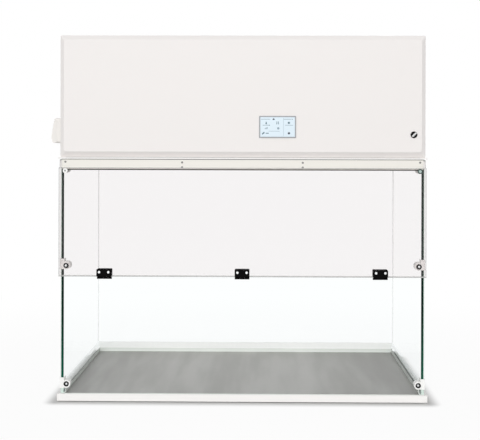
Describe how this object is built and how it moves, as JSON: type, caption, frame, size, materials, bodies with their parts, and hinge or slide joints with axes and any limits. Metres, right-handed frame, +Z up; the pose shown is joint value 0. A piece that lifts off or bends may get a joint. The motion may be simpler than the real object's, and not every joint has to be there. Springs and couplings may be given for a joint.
{
  "type": "laminar flow hood",
  "caption": "Bench-top laminar flow hood with a glass-walled work chamber, a folding glass front flap and a fan and filter housing on top.",
  "frame": {"origin": "middle of the base's underside, on the face of the centre foot, which stands on the bench", "axes": "+X to the operator's right, +Y from the open front to the back, +Z up"},
  "size_m": [1.2402, 0.6563, 1.2],
  "materials": {
    "housing_paint": "smooth satin off-white powder coat",
    "base_paint": "smooth satin white powder coat",
    "strip_paint": "satin white powder coat",
    "rail_white": "satin white powder coat",
    "inner_sheet": "plain galvanised sheet",
    "worktop_steel": "fine matt stainless steel",
    "clear_glass": "clear float glass with green edges",
    "hinge_black": "black satin enamel",
    "screw_steel": "bright steel",
    "bracket_white": "white moulded plastic",
    "black_rubber": "matt rubber",
    "magnet_steel": "nickel plate",
    "diffuser_metal": "perforated sheet",
    "lamp_glass": "frosted white",
    "filter_paper": "pleated paper",
    "filter_frame_metal": "extruded, plain",
    "gasket_foam": "closed-cell foam",
    "motor_enamel": "black enamel",
    "impeller_metal": "plain",
    "pad_fibre": "loose fibre",
    "frame_grey": "grey, smooth",
    "screen_glass": "lit, pale blue",
    "switch_black": "black, smooth",
    "knob_light": "light grey, smooth",
    "socket_plastic": "off-white, smooth",
    "board_green": "lacquered board"
  },
  "bodies": {
    "hood": {"base_tray": "base_paint", "base_feet": "black_rubber", "worktop": "worktop_steel", "left_glass_rail": "rail_white", "right_glass_rail": "rail_white", "rear_glass_rail": "rail_white", "left_side_glass": "clear_glass", "right_side_glass": "clear_glass", "back_glass": "clear_glass", "upper_front_pane": "clear_glass", "top_brackets": "bracket_white", "mid_brackets": "bracket_white", "catch_brackets": "bracket_white", "pane_washers": "black_rubber", "bracket_screws": "screw_steel", "catch_magnets": "magnet_steel", "clamp_strip": "strip_paint", "strip_screws": "screw_steel", "left_hinge_fixed_leaf": "hinge_black", "centre_hinge_fixed_leaf": "hinge_black", "right_hinge_fixed_leaf": "hinge_black", "hinge_pins": "screw_steel", "fixed_hinge_plates": "hinge_black", "fixed_hinge_screws": "screw_steel", "ceiling_plate": "base_paint", "ceiling_bars": "rail_white", "diffuser_sheet": "diffuser_metal", "lamp_battens": "rail_white", "lamp_tubes": "lamp_glass", "filter_gasket": "gasket_foam", "filter_frame": "filter_frame_metal", "filter_media": "filter_paper", "inner_front_panel": "inner_sheet", "fan_deck": "inner_sheet", "fan_frames": "inner_sheet", "fan_motors": "motor_enamel", "housing_left_panel": "housing_paint", "housing_right_panel": "housing_paint", "housing_back_panel": "housing_paint", "housing_top_panel": "housing_paint", "prefilter_tray": "inner_sheet", "prefilter_pad": "pad_fibre", "front_cover": "housing_paint", "display_housing": "frame_grey", "display_screen": "screen_glass", "switch_body": "switch_black", "socket_body": "socket_plastic", "power_inlet": "switch_black", "control_board": "board_green"},
    "flap": {"front_flap": "clear_glass", "flap_strikes": "bracket_white", "left_hinge_flap_leaf": "hinge_black", "centre_hinge_flap_leaf": "hinge_black", "right_hinge_flap_leaf": "hinge_black", "flap_hinge_plates": "hinge_black", "flap_hinge_screws": "screw_steel"},
    "socket_cover": {"socket_lid": "socket_plastic"},
    "switch": {"switch_knob": "knob_light"},
    "left_fan": {"left_impeller": "impeller_metal"},
    "right_fan": {"right_impeller": "impeller_metal"}
  },
  "joints": [
    {"name": "flap_swing", "type": "hinge", "parent": "hood", "child": "flap", "pos_m": [0, -0.3215, 0.406], "axis": [1, 0, 0], "range_deg": [0, 180]},
    {"name": "socket_lid_swing", "type": "hinge", "parent": "hood", "child": "socket_cover", "pos_m": [-0.6219, -0.246, 0.9246], "axis": [0, 1, 0], "range_deg": [0, 100], "stiffness_Nm_per_rad": 0.02, "springref_deg": -28.65},
    {"name": "power_switch_turn", "type": "hinge", "parent": "hood", "child": "switch", "pos_m": [0.558, -0.3265, 0.876], "axis": [0, -1, 0], "range_deg": [0, 90]},
    {"name": "left_fan_spin", "type": "hinge", "parent": "hood", "child": "left_fan", "pos_m": [-0.29, 0.00385, 1.01], "axis": [0, 0, 1], "continuous": true},
    {"name": "right_fan_spin", "type": "hinge", "parent": "hood", "child": "right_fan", "pos_m": [0.29, 0.00385, 1.01], "axis": [0, 0, 1], "continuous": true}
  ]
}
